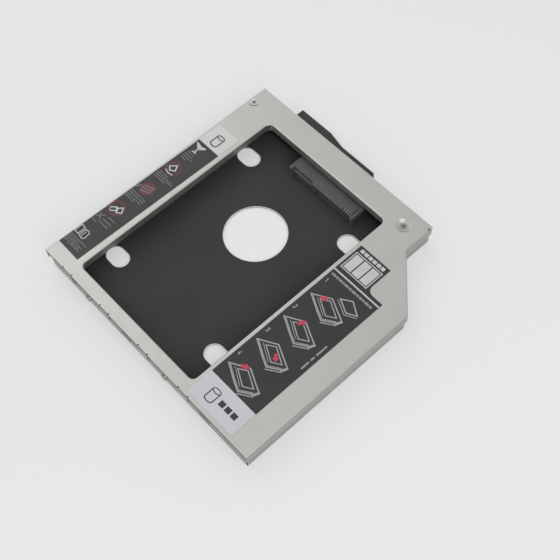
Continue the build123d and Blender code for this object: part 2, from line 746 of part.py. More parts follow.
with BuildPart() as plug_housing:
    # Plan of the upper part, deeper on its left
    with BuildSketch(Plane.XY.offset(board_top)):
        with BuildLine():
            Polyline(
                (plug_left_x, aft(plug_front)),
                (plug_right_x, aft(plug_front)),
                (plug_right_x, aft(plug_rear - plug_step - plug_corner)),
                (plug_right_x - plug_corner, aft(plug_rear - plug_step)),
                (plug_deep_end_x + plug_slope_length, aft(plug_rear - plug_step)),
                (plug_deep_end_x, aft(plug_rear)),
                (plug_left_x, aft(plug_rear)),
                close=True,
            )
        make_face()
    extrude(amount=plug_top - board_top)
    # Chin below the board's rear edge
    chin_front = caddy_depth - tray_sheet
    with BuildSketch(Plane.XY.offset(plug_bottom)):
        with BuildLine():
            Polyline(
                (plug_left_x, aft(chin_front)),
                (plug_right_x, aft(chin_front)),
                (plug_right_x, aft(plug_rear - plug_step - plug_corner)),
                (plug_right_x - plug_corner, aft(plug_rear - plug_step)),
                (plug_deep_end_x + plug_slope_length, aft(plug_rear - plug_step)),
                (plug_deep_end_x, aft(plug_rear)),
                (plug_left_x, aft(plug_rear)),
                close=True,
            )
        make_face()
    extrude(amount=board_top - plug_bottom)
    top_edges = (
        plug_housing.faces().sort_by(Axis.Z)[-1].edges()
        .filter_by_position(Axis.Y, aft(caddy_depth), aft(plug_rear + 1))
    )
    chamfer(top_edges, 0.4)
    # Mouth, with two L shaped tongues left standing in it
    mouth_width = plug_span + 2 * (tongue_end + plug_mouth_margin)
    with BuildSketch(Plane.XZ.offset(-aft(plug_rear))):
        with Locations((plug_mouth_x, plug_mouth_z)):
            Rectangle(mouth_width, plug_mouth_height, align=(Align.CENTER, Align.MIN))
    extrude(amount=plug_mouth_depth, mode=Mode.SUBTRACT)
    for centre, count in plug_rows:
        half = (count - 1) * contact_pitch / 2 + tongue_end
        with BuildSketch(Plane.XZ.offset(-aft(plug_tip))):
            with Locations((centre, plug_tongue_z)):
                Rectangle(2 * half, plug_tongue_height, align=(Align.CENTER, Align.MIN))
            with Locations((centre + half, plug_mouth_z)):
                Rectangle(key_width, plug_mouth_height / 2, align=(Align.MAX, Align.MIN))
        extrude(amount=plug_mouth_depth)
    # Pockets in the solid ends
    pocket_left = (plug_left_x + plug_mouth_x - mouth_width / 2) / 2
    pocket_right = (plug_right_x + plug_mouth_x + mouth_width / 2) / 2
    with BuildSketch(Plane.XZ.offset(-aft(plug_rear))):
        with Locations(
            (pocket_left, (plug_top + plug_bottom) / 2),
            (pocket_right, (plug_top + plug_bottom) / 2),
        ):
            RectangleRounded(plug_pocket_width, plug_pocket_height, plug_pocket_height / 3)
    extrude(amount=plug_pocket_depth, mode=Mode.SUBTRACT)
    add(plug_signal_contacts.part, mode=Mode.SUBTRACT)
    add(plug_power_contacts.part, mode=Mode.SUBTRACT)

# Clamp nuts: hexagonal, each with a pilot that stands in the front wall
drive_front = front_strip + drive_front_room
clamp_travel = drive_front - (tray_inner_inset + clamp_nut_length + clamp_nose_proud)
nut_end_y = wall_inner_y + clamp_nut_length

with BuildPart() as clamp_nuts:
    with BuildSketch(Plane.XZ.offset(-wall_inner_y)):
        with Locations(*[(x, clamp_z) for x in clamp_x]):
            RegularPolygon(clamp_nut_flats / 2, 6, major_radius=False)
    extrude(amount=-clamp_nut_length)
    with BuildSketch(Plane.XZ.offset(-wall_inner_y)):
        with Locations(*[(x, clamp_z) for x in clamp_x]):
            Circle(clamp_pilot_r - pilot_clearance)
    extrude(amount=tray_sheet)
    with BuildSketch(Plane.XZ.offset(-tray_front)):
        with Locations(*[(x, clamp_z) for x in clamp_x]):
            Circle(clamp_bore_r)
    extrude(amount=-2 * clamp_nut_length, mode=Mode.SUBTRACT)

# Clamp screws: a headless screw with a driver slot in front and a blunt nose behind
nose_y = nut_end_y + clamp_nose_proud
clamp_length = clamp_travel + clamp_engaged + clamp_nose_proud
clamp_shank_r = clamp_bore_r - clamp_running_clearance

with BuildPart() as clamp_screw:
    with BuildSketch(Plane.XY):
        with BuildLine():
            Polyline(
                (0, nose_y),
                (clamp_nose_r, nose_y),
                (clamp_nose_r, nose_y - clamp_nose_length),
                (clamp_shank_r, nose_y - clamp_nose_length - (clamp_shank_r - clamp_nose_r)),
                (clamp_shank_r, nose_y - clamp_length),
                (0, nose_y - clamp_length),
                close=True,
            )
        make_face()
    revolve(axis=Axis.Y)
    with Locations((0, nose_y - clamp_length, 0)):
        Box(3 * clamp_shank_r, 2 * clamp_slot_depth, clamp_slot_width, mode=Mode.SUBTRACT)

with BuildPart() as clamp_screw_left:
    with Locations((clamp_x[0], 0, clamp_z)):
        add(clamp_screw.part)

with BuildPart() as clamp_screw_right:
    with Locations((clamp_x[1], 0, clamp_z)):
        add(clamp_screw.part)

# Bracket nuts: hexagonal, on the inner face of the rear wall
with BuildPart() as bracket_nuts:
    with BuildSketch(Plane.XZ.offset(-(tray_rear - tray_sheet))):
        with Locations(*[(x, bracket_nut_z) for x in bracket_x]):
            RegularPolygon(bracket_nut_flats / 2, 6, major_radius=False)
    extrude(amount=bracket_nut_length)
    with BuildSketch(Plane.XZ.offset(-(tray_rear - tray_sheet))):
        with Locations(*[(x, bracket_nut_z) for x in bracket_x]):
            Circle(bracket_pilot_r - pilot_clearance)
    extrude(amount=-tray_sheet)
    with BuildSketch(Plane.XZ.offset(-tray_rear)):
        with Locations(*[(x, bracket_nut_z) for x in bracket_x]):
            Circle(bracket_thread_r)
    extrude(amount=2 * bracket_nut_length, mode=Mode.SUBTRACT)

# Stickers: a strip on the left and a panel with a scooped head on the right
with BuildPart() as strip_label:
    with BuildSketch(Plane.XY.offset(lid_top)):
        with Locations(Location((strip_x, aft(strip_front + strip_length / 2), 0), (0, 0, strip_turn))):
            Rectangle(strip_width, strip_length)
    extrude(amount=sticker_thickness)

with BuildPart() as panel_label:
    with BuildSketch(Plane.XY.offset(lid_top)):
        with Locations((panel_left_x, aft(panel_front))):
            Rectangle(panel_width, panel_length, align=(Align.MIN, Align.MIN))
        with Locations((panel_left_x, aft(panel_front + panel_length))):
            Rectangle(panel_head_width, panel_head_length, align=(Align.MIN, Align.MIN))
            Rectangle(panel_head_width + panel_scoop_r, panel_scoop_r, align=(Align.MIN, Align.MIN))
        with Locations(
            (
                panel_left_x + panel_head_width + panel_scoop_r,
                aft(panel_front + panel_length + panel_scoop_r),
            )
        ):
            Circle(panel_scoop_r, mode=Mode.SUBTRACT)
    extrude(amount=sticker_thickness)

finished = {
    "top_plate": top_plate,
    "bottom_tray": bottom_tray,
    "floor_film": floor_film,
    "lid_post": lid_post,
    "lid_screws": lid_screws,
    "circuit_board": circuit_board,
    "board_standoffs": board_standoffs,
    "board_screws": board_screws,
    "chip_capacitors": chip_capacitors,
    "chip_resistors": chip_resistors,
    "socket_housing": socket_housing,
    "socket_signal_contacts": socket_signal_contacts,
    "socket_power_contacts": socket_power_contacts,
    "socket_clips": socket_clips,
    "plug_housing": plug_housing,
    "plug_signal_contacts": plug_signal_contacts,
    "plug_power_contacts": plug_power_contacts,
    "plug_clips": plug_clips,
    "clamp_nuts": clamp_nuts,
    "clamp_screw_left": clamp_screw_left,
    "clamp_screw_right": clamp_screw_right,
    "bracket_nuts": bracket_nuts,
    "strip_label": strip_label,
    "panel_label": panel_label,
}
for name, piece in finished.items():
    piece.part.label = name
    export_step(piece.part, f"parts/{name}.step")


print(f"clamp travel {clamp_travel:.2f} mm, screw length {clamp_length:.2f} mm")
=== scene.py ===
from itertools import cycle
from math import cos, pi, radians, sin

import bmesh
import bpy
from mathutils import Matrix, Vector


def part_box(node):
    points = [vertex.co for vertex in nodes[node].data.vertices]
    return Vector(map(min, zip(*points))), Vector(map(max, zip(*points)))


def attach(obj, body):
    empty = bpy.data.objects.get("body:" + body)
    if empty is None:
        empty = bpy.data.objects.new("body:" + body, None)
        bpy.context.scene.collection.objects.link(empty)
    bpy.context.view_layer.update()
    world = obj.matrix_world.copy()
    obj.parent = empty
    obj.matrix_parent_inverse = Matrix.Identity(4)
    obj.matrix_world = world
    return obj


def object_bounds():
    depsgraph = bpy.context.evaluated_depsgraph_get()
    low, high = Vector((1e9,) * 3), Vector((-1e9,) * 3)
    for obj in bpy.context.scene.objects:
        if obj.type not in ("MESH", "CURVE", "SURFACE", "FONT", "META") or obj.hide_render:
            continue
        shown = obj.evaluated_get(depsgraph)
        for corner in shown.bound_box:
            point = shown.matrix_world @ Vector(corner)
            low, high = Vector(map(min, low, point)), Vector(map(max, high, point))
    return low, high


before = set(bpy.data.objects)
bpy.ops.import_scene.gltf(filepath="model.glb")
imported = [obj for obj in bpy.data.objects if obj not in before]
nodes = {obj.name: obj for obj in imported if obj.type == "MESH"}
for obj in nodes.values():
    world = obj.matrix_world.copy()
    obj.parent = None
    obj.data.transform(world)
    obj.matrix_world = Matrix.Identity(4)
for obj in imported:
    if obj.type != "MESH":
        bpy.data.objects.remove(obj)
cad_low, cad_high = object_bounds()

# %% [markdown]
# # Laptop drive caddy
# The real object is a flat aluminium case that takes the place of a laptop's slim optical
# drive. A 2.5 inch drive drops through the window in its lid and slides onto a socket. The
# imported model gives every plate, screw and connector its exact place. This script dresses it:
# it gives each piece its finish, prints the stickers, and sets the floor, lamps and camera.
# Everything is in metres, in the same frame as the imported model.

MM = 0.001
BODY = "caddy"
size_mm = [round((high - low) / MM, 1) for low, high in zip(cad_low, cad_high)]
print("nodes:", len(nodes), "size in mm:", size_mm)

# %% [markdown]
# ## Lines to lay things out by
# On a real lid one would measure with a ruler from its front edge, and the print is laid out
# here in the same way: X from the middle, and Y as a distance behind the front edge, both in
# mm. The lines themselves could be typed in again, but they are read from the boxes of the
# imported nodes, so that they follow the model.

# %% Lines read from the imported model
lid_low, lid_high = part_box("top_plate")
LID_TOP = lid_high[2]
FRONT = lid_low[1]
strip_low, strip_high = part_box("strip_label")
panel_low, panel_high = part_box("panel_label")
print("lid top", round(LID_TOP / MM, 2), "front edge", round(FRONT / MM, 2))


def behind(distance):
    """Y of a place that lies a distance in mm behind the lid's front edge."""
    return FRONT + distance * MM


# %% [markdown]
# ## The camera
# The photograph looks down on the caddy from over its front right corner, with a lens of
# about 66 mm. A camera could be turned by eye or aimed by a constraint. The place and turn
# below came from matching the lid's corners, its openings and its screws to the photograph,
# which is more exact, so they are written down as they were solved. They are set before
# anything else, so that each later piece can be judged at the right angle.

# %% Camera
CAMERA_PLACE = Vector((178.9 * MM, behind(-69.9), LID_TOP + 369.1 * MM))
CAMERA_RIGHT = Vector((0.677401, 0.734705, -0.036552))
CAMERA_FORWARD = Vector((-0.383782, 0.310585, -0.869625))
LENS = 65.99
SENSOR_WIDTH = 36.0
NEAR_LIMIT, FAR_LIMIT = 0.01, 20.0


def add_object(name, data):
    """A new object in the scene, at the origin, that shows a mesh, lamp or camera."""
    made = bpy.data.objects.new(name, data)
    bpy.context.scene.collection.objects.link(made)
    return made


camera_data = bpy.data.cameras.new("camera")
camera_data.lens = LENS
camera_data.sensor_width = SENSOR_WIDTH
camera_data.sensor_fit = "HORIZONTAL"
camera_data.clip_start = NEAR_LIMIT
camera_data.clip_end = FAR_LIMIT
camera = add_object("camera", camera_data)
camera.location = CAMERA_PLACE
camera_back = -CAMERA_FORWARD.normalized()
camera_up = camera_back.cross(CAMERA_RIGHT).normalized()
camera_right = camera_up.cross(camera_back)
camera_turn = Matrix((camera_right, camera_up, camera_back)).transposed()
camera.rotation_euler = camera_turn.to_euler()
bpy.context.scene.camera = camera
print("camera at", [round(v, 3) for v in camera.location])

# %% [markdown]
# ## Helpers for materials
# A material here is a handful of nodes in a row. They could be joined by hand in the shader
# editor. Helpers that place and join them keep each finish further down as short as a list
# of what it looks like. Colours are written as a screen shows them and turned into the
# linear values that nodes use.

# %% Starting a material and writing a colour


def new_material(name):
    """An empty node material with its Principled shader joined to its output."""
    material = bpy.data.materials.new(name)
    material.use_nodes = True
    tree = material.node_tree
    tree.nodes.clear()
    output = tree.nodes.new("ShaderNodeOutputMaterial")
    shader = tree.nodes.new("ShaderNodeBsdfPrincipled")
    tree.links.new(shader.outputs["BSDF"], output.inputs["Surface"])
    return material, tree, shader


def srgb(r, g, b):
    """A colour as a screen shows it, from 0 to 255, turned into the linear one."""
    def linear(v):
        v = v / 255
        return v / 12.92 if v <= 0.04045 else ((v + 0.055) / 1.055) ** 2.4
    return (linear(r), linear(g), linear(b), 1.0)


print("middle grey of a screen in nodes:", round(srgb(128, 128, 128)[0], 3))

# %% Adding and joining nodes


def feed(tree, socket, value):
    """Joins a socket to the output of a node, or else sets it to a plain value."""
    if isinstance(value, bpy.types.NodeSocket):
        tree.links.new(value, socket)
    else:
        socket.default_value = value


def add_node(tree, kind, **inputs):
    """A node with some of its inputs set or joined."""
    node = tree.nodes.new(kind)
    for key, value in inputs.items():
        feed(tree, node.inputs[key.replace("_", " ")], value)
    return node


def calculate(tree, operation, first, second):
    """The result of a Math node. Each side may be a number or the output of a node."""
    node = tree.nodes.new("ShaderNodeMath")
    node.operation = operation
    feed(tree, node.inputs[0], first)
    feed(tree, node.inputs[1], second)
    return node.outputs[0]


# The Mix node has a set of sockets for each kind of value, and these are the ones for colours
MIX_FACTOR, MIX_FIRST, MIX_SECOND, MIX_RESULT = 0, 6, 7, 2


def mix_colours(tree, factor, first, second):
    """The colour between two others. Each may be a plain colour or the output of a node."""
    node = tree.nodes.new("ShaderNodeMix")
    node.data_type = "RGBA"
    feed(tree, node.inputs[MIX_FACTOR], factor)
    feed(tree, node.inputs[MIX_FIRST], first)
    feed(tree, node.inputs[MIX_SECOND], second)
    return node.outputs[MIX_RESULT]


def dress(name, material):
    """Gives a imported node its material."""
    data = nodes[name].data
    data.materials.clear()
    data.materials.append(material)


# %% [markdown]
# ## Shared effects
# Rolled sheet, moulded plastic and film are never quite even in colour and gloss. A picture
# of such mottling could be laid on each piece. A Noise texture in object space needs no
# unwrapping and has no seams, so it is used here. Several finishes need it, so it is built
# once as a node group. Groups put out only masks and heights that change over the surface,
# and the shader stays in the material.

# %% Mottle group


def new_group(name, inputs, output):
    """An empty node group, the sockets that feed it and the sockets that it fills."""
    group = bpy.data.node_groups.new(name, "ShaderNodeTree")
    for key, kind in inputs.items():
        group.interface.new_socket(key, in_out="INPUT", socket_type=kind)
    group.interface.new_socket(output, in_out="OUTPUT", socket_type="NodeSocketFloat")
    given = group.nodes.new("NodeGroupInput").outputs
    wanted = group.nodes.new("NodeGroupOutput").inputs
    return group, given, wanted


mottle, given, wanted = new_group("mottle", {
    "Vector": "NodeSocketVector", "Scale": "NodeSocketFloat",
    "Low": "NodeSocketFloat", "High": "NodeSocketFloat",
}, "Mask")
noise = add_node(
    mottle, "ShaderNodeTexNoise",
    Vector=given["Vector"], Scale=given["Scale"], Detail=5.0, Roughness=0.6,
)
spread = add_node(
    mottle, "ShaderNodeMapRange",
    Value=noise.outputs["Fac"], From_Min=0.3, From_Max=0.7,
    To_Min=given["Low"], To_Max=given["High"],
)
mottle.links.new(spread.outputs["Result"], wanted["Mask"])
print("group:", mottle.name)

# %% [markdown]
# The second effect is the fine grain of a rolled or moulded surface. It could be cut into the
# mesh, but it is only a few hundredths of a millimetre high, so it goes to a Bump node as
# height. Scaled up along one axis, the same grain becomes the fine lines that a lathe leaves.

# %% Grain group
grain, given, wanted = new_group("grain", {
    "Vector": "NodeSocketVector", "Scale": "NodeSocketFloat", "Stretch": "NodeSocketVector",
}, "Height")
stretched = add_node(
    grain, "ShaderNodeMapping", Vector=given["Vector"], Scale=given["Stretch"]
)
fine = add_node(
    grain, "ShaderNodeTexNoise",
    Vector=stretched.outputs["Vector"], Scale=given["Scale"], Detail=3.0, Roughness=0.55,
)
grain.links.new(fine.outputs["Fac"], wanted["Height"])
print("group:", grain.name)

# %% [markdown]
# Handling polishes the edges of bare sheet first, and a rounded edge catches the light. That
# wear could be painted by hand. Here one edge mask carries both the wear and a painted
# highlight. The Bevel node gives the normal that an edge would have if it were rounded, so
# wherever that normal and the real one part, there is an edge. The mask that this makes needs
# no painting and follows any change of shape.

# %% Edge group for wear and painted highlight
edge_wear_and_highlight, given, wanted = new_group("edge_wear_and_highlight", {"Radius": "NodeSocketFloat"}, "Mask")
rounded = add_node(edge_wear_and_highlight, "ShaderNodeBevel", Radius=given["Radius"])
geometry = edge_wear_and_highlight.nodes.new("ShaderNodeNewGeometry")
agree = edge_wear_and_highlight.nodes.new("ShaderNodeVectorMath")
agree.operation = "DOT_PRODUCT"
edge_wear_and_highlight.links.new(rounded.outputs["Normal"], agree.inputs[0])
edge_wear_and_highlight.links.new(geometry.outputs["Normal"], agree.inputs[1])
near_edge = add_node(
    edge_wear_and_highlight, "ShaderNodeMapRange",
    Value=agree.outputs["Value"], From_Min=0.99, From_Max=0.8, To_Min=0.0, To_Max=1.0,
)
edge_wear_and_highlight.links.new(near_edge.outputs["Result"], wanted["Mask"])
print("group:", edge_wear_and_highlight.name)

# %% [markdown]
# ## One recipe for all finishes
# Sheet, plastic, plating and ink could each have a node tree built by hand, but they differ in
# their numbers and not in their build. Each drifts between two shades and two roughnesses and
# has fine grain, and the sheet and the nylon have paler edges too, partly from wear and partly
# as a painted highlight. One function makes them all, so that a call says only what sets its
# finish apart.

# %% Surface recipe
GLOSS_FINER = 2.3   # gloss drifts in patches that are this much smaller than those of colour


def use_group(tree, group, **inputs):
    """What a group puts out once it is placed in a material, with its inputs set or joined."""
    node = tree.nodes.new("ShaderNodeGroup")
    node.node_tree = group
    for key, value in inputs.items():
        feed(tree, node.inputs[key], value)
    return node.outputs[0]


def surface(
    name, dark, light, rough, mottle_scale, gloss_scale=None, metallic=0.0, specular=0.5,
    grain_scale=2500.0, stretch=(1.0, 1.0, 1.0), bump=0.1, bump_depth=0.02 * MM, edge=None,
):
    """A finish that drifts between two shades. An edge, paler from wear and a painted highlight,
    has a colour and a radius.
    """
    material, tree, shader = new_material(name)
    where = tree.nodes.new("ShaderNodeTexCoord").outputs["Object"]
    drift = use_group(tree, mottle, Vector=where, Scale=mottle_scale, Low=0.0, High=1.0)
    colour = mix_colours(tree, drift, dark, light)
    if edge is not None:
        edge_colour, edge_radius = edge
        wear_and_highlight = use_group(tree, edge_wear_and_highlight, Radius=edge_radius)
        colour = mix_colours(tree, wear_and_highlight, colour, edge_colour)
    tree.links.new(colour, shader.inputs["Base Color"])
    gloss_scale = gloss_scale or mottle_scale * GLOSS_FINER
    gloss = use_group(tree, mottle, Vector=where, Scale=gloss_scale, Low=rough[0], High=rough[1])
    tree.links.new(gloss, shader.inputs["Roughness"])
    height = use_group(tree, grain, Vector=where, Scale=grain_scale, Stretch=stretch)
    relief = add_node(tree, "ShaderNodeBump", Strength=bump, Distance=bump_depth, Height=height)
    tree.links.new(relief.outputs["Normal"], shader.inputs["Normal"])
    shader.inputs["Metallic"].default_value = metallic
    shader.inputs["Specular IOR Level"].default_value = specular
    return material


# %% [markdown]
# A few places on a piece have a tone of their own: a cut edge, a shaded screw, the silver end
# of a sticker. Their faces could be picked out and given a second material. A test on object
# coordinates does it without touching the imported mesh, and two tests multiplied together hold
# only where both do.

# %% Another colour in one place


def recolour(material, colour, *tests):
    """Changes the colour where all tests of a place hold. A test: axis, comparison, limit."""
    tree = material.node_tree
    base = tree.nodes["Principled BSDF"].inputs["Base Color"]
    where = tree.nodes.new("ShaderNodeTexCoord").outputs["Object"]
    parts = add_node(tree, "ShaderNodeSeparateXYZ", Vector=where)
    mask = None
    for axis, comparison, limit in tests:
        holds = calculate(tree, comparison, parts.outputs[axis], limit)
        mask = holds if mask is None else calculate(tree, "MULTIPLY", mask, holds)
    tree.links.new(mix_colours(tree, mask, base.links[0].from_socket, colour), base)


# %% [markdown]
# ## Finishes of the caddy
# The sheet is bare aluminium with a fine satin surface, pale and only slightly warm. Real
# bare metal mirrors the room: the flat lid shows the pale ceiling and reads light grey, and
# the fold round the window shows the black film below it and reads dark. A plain grey paint
# could be matched to one of them but not to both. A mostly metallic shader gives both. Its
# edges are a little brighter, partly where hands have rubbed them and partly as a painted
# highlight where a rounded edge catches the light. Along the lid's front the cut edge is
# painted dark as the shade of the gap under it, and from above it shows as a thin line.

# %% Sheet and film
FRONT_SHADE_BACK = FRONT + 0.15 * MM
FRONT_SHADE_FOOT = LID_TOP - 0.85 * MM

sheet = surface(
    "satin_sheet", srgb(166, 165, 161), srgb(171, 170, 167), rough=(0.36, 0.42), metallic=0.85,
    mottle_scale=70.0, grain_scale=6000.0, bump=0.18, edge=(srgb(216, 215, 212), 0.25 * MM),
)
# The tray's paler edges are wear and also a painted highlight on the rims of its openings.
inner_sheet = surface(
    "tray_sheet", srgb(152, 152, 150), srgb(160, 160, 158), rough=(0.34, 0.44), metallic=0.85,
    mottle_scale=80.0, grain_scale=4200.0, bump=0.15, edge=(srgb(232, 232, 230), 0.5 * MM),
)
film = surface(
    "black_film", srgb(62, 62, 62), srgb(67, 67, 67), rough=(0.4, 0.46), mottle_scale=30.0,
    grain_scale=3000.0, bump=0.12, specular=0.03,
)
# Painted shade: the lid's front cut edge is darkened as the shadow of the gap under it.
recolour(
    sheet, srgb(36, 36, 35), ("Y", "LESS_THAN", FRONT_SHADE_BACK), ("Z", "GREATER_THAN", FRONT_SHADE_FOOT)
)
dress("top_plate", sheet)
dress("bottom_tray", inner_sheet)
dress("floor_film", film)
print("finishes:", [m.name for m in (sheet, inner_sheet, film)])

# %% [markdown]
# The two connectors are moulded in black nylon. One black would do for both from afar, but the
# drive socket reads slightly greyer and bluer than the plug behind the rear edge. So each has
# its own shades, and both have the same soft grain.

# %% Moulded plastics
socket_nylon = surface(
    "socket_nylon", srgb(70, 72, 72), srgb(80, 82, 82), rough=(0.42, 0.55), mottle_scale=140.0,
    grain_scale=3800.0, bump=0.3, specular=0.4, edge=(srgb(84, 86, 86), 0.15 * MM),
)
plug_nylon = surface(
    "plug_nylon", srgb(28, 28, 26), srgb(38, 38, 35), rough=(0.42, 0.55), mottle_scale=140.0,
    grain_scale=3800.0, bump=0.3, specular=0.4, edge=(srgb(66, 66, 62), 0.15 * MM),
)
dress("socket_housing", socket_nylon)
dress("plug_housing", plug_nylon)
print("finishes:", [m.name for m in (socket_nylon, plug_nylon)])

# %% [markdown]
# The screws are plated with nickel, which has a brighter, harder shine than the sheet. The
# right lid screw sits deeper than the left one, in a pressed seat whose walls shade it. Both
# are one node, so a second material for one of them would need its faces picked out. The
# shade goes by height instead. The clamp screws are steel with the fine lines of a lathe.

# %% Screws
SHADED_BELOW = LID_TOP - 0.35 * MM


def plating(name):
    """The nickel plating of the lid's screws and of the board's."""
    return surface(
        name, srgb(158, 157, 152), srgb(190, 189, 184), rough=(0.22, 0.34), metallic=1.0,
        mottle_scale=500.0, grain_scale=6000.0, bump=0.1,
    )


board_screw_steel = plating("plated_steel")
lid_screw_steel = plating("lid_screw_steel")
recolour(lid_screw_steel, srgb(146, 145, 141), ("Z", "LESS_THAN", SHADED_BELOW))
clamp_steel = surface(
    "clamp_steel", srgb(176, 174, 168), srgb(198, 196, 190), rough=(0.28, 0.38), metallic=0.8,
    mottle_scale=500.0, grain_scale=5000.0, stretch=(1.0, 6.0, 1.0), bump=0.2,
)
dress("board_screws", board_screw_steel)
dress("lid_screws", lid_screw_steel)
dress("clamp_screw_left", clamp_steel)
dress("clamp_screw_right", clamp_steel)
print("screws dressed, shade below", round(SHADED_BELOW / MM, 2))

# %% [markdown]
# The posts and nuts are turned from steel, the contacts are gold plated, and the solder clips
# are tinned. Each node could have a material of its own, but small parts like these come in a
# few finishes that they share, so three materials and a list of their parts are enough.

# %% Turned and plated parts
turned = surface(
    "turned_steel", srgb(150, 148, 142), srgb(176, 174, 168), rough=(0.28, 0.4), metallic=1.0,
    mottle_scale=500.0, grain_scale=5000.0, stretch=(1.0, 1.0, 6.0), bump=0.2,
)
gold = surface(
    "gold_contact", srgb(196, 158, 84), srgb(226, 190, 112), rough=(0.2, 0.3), metallic=1.0,
    mottle_scale=700.0, grain_scale=6000.0, bump=0.05,
)
tinned = surface(
    "tinned_clip", srgb(176, 176, 172), srgb(206, 206, 203), rough=(0.3, 0.42), metallic=1.0,
    mottle_scale=600.0, grain_scale=4000.0, bump=0.2,
)
PLATED_PARTS = (
    (turned, ("lid_post", "board_standoffs", "clamp_nuts", "bracket_nuts")),
    (gold, ("socket_signal_contacts", "socket_power_contacts")),
    (gold, ("plug_signal_contacts", "plug_power_contacts")),
    (tinned, ("socket_clips", "plug_clips")),
)
for material, names in PLATED_PARTS:
    for name in names:
        dress(name, material)
    print(material.name, "on", ", ".join(names))

# %% [markdown]
# ## The board
# The photograph hides the board, so it has the usual black lacquer over copper, and the copper
# shows through as faint blocks and lines. They could be modelled track by track. A Brick
# texture in object space is enough for a board that mostly hides under the lid.

# %% Board and chips
board, tree, shader = new_material("lacquered_board")
where = tree.nodes.new("ShaderNodeTexCoord").outputs["Object"]
tracks = add_node(
    tree, "ShaderNodeTexBrick", Vector=where, Color1=srgb(26, 29, 27), Color2=srgb(32, 36, 33),
    Mortar=srgb(17, 19, 18), Scale=900.0, Mortar_Size=0.03,
)
tree.links.new(tracks.outputs["Color"], shader.inputs["Base Color"])
shader.inputs["Roughness"].default_value = 0.32
ceramic = surface(
    "chip_ceramic", srgb(150, 122, 92), srgb(172, 144, 112), rough=(0.5, 0.6), mottle_scale=800.0,
)
chip_black = surface(
    "chip_black", srgb(28, 28, 28), srgb(40, 40, 40), rough=(0.4, 0.5), mottle_scale=800.0,
)
dress("circuit_board", board)
dress("chip_capacitors", ceramic)
dress("chip_resistors", chip_black)
print("board dressed")

# %% [markdown]
# ## Stickers
# Both stickers are one printed film each: black over most of their length, silver at one
# end. The silver could be a piece of its own on top, but a change of ink leaves no edge that
# a hand could feel, so both fields are made in the material. A straight border needs only
# one test on one coordinate.

# %% Sticker material
STICKER_MOTTLE = 70.0


def sticker(name, black_shades, silver_shades, comparison, border):
    """Black film that turns silver beyond a line across it, at border along its length."""
    material = surface(
        name, *black_shades, rough=(0.34, 0.42), mottle_scale=STICKER_MOTTLE, gloss_scale=180.0,
        grain_scale=900.0, bump=0.08, bump_depth=0.03 * MM, specular=0.35,
    )
    tree = material.node_tree
    where = tree.nodes.new("ShaderNodeTexCoord").outputs["Object"]
    drift = use_group(tree, mottle, Vector=where, Scale=STICKER_MOTTLE, Low=0.0, High=1.0)
    recolour(material, mix_colours(tree, drift, *silver_shades), ("Y", comparison, border))
    return material


STRIP_SILVER = behind(85.0)
STRIP_BLACK = srgb(41, 41, 41), srgb(48, 48, 47)
STRIP_PALE = srgb(203, 202, 200), srgb(208, 207, 205)
PANEL_SILVER = behind(14.75)
PANEL_BLACK = srgb(32, 33, 34), srgb(39, 40, 40)
PANEL_PALE = srgb(192, 193, 197), srgb(198, 199, 203)
strip_film = sticker("strip_sticker", STRIP_BLACK, STRIP_PALE, "GREATER_THAN", STRIP_SILVER)
panel_film = sticker("panel_sticker", PANEL_BLACK, PANEL_PALE, "LESS_THAN", PANEL_SILVER)
dress("strip_label", strip_film)
dress("panel_label", panel_film)
print("silver from", round(STRIP_SILVER / MM, 1), "and up to", round(PANEL_SILVER / MM, 1))

# %% [markdown]
# ## Helpers for print
# The rest of the print is ink with a shape of its own. It could be drawn in the material, as
# the silver ends are, but drawings would need dozens of nodes there. It is laid on the
# sticker as a thin skin instead, and each mark starts as a few points: the four corners of a
# bar, or the two sides of a line.

# %% Bars and lines as points


def corners(x0, x1, y0, y1):
    """The corners of a rectangle."""
    return [(x0, y0), (x1, y0), (x1, y1), (x0, y1)]


def line_outline(points, width):
    """The points round an open line of even width, with mitred corners."""
    runs = [(Vector(b) - Vector(a)).normalized() for a, b in zip(points, points[1:])]
    sides = [Vector((-run.y, run.x)) for run in runs]
    left, right = [], []
    for i, point in enumerate(points):
        before = sides[max(i - 1, 0)]
        after = sides[min(i, len(sides) - 1)]
        mitre = (before + after) / (1 + before.dot(after)) * width / 2
        left.append(Vector(point) + mitre)
        right.append(Vector(point) - mitre)
    return left + right[::-1]


print("a line 2 wide and 10 long:", [tuple(p) for p in line_outline([(0, 0), (10, 0)], 2)])

# %% [markdown]
# The points, or a circle, make one flat face. Inset and with its middle taken out, the face
# becomes a border, and extruded, it gets its thickness. A Solidify modifier could thicken all
# marks at once, but where two marks cross, one has to be thicker than the other. The skins
# start a hair above the sticker, so that no face of theirs shares a plane with it.

# %% A skin of ink
INK = 0.02 * MM
LIFT = 0.1 * INK
STICKER_TOP = strip_high[2]
ROUND_STEPS = 28


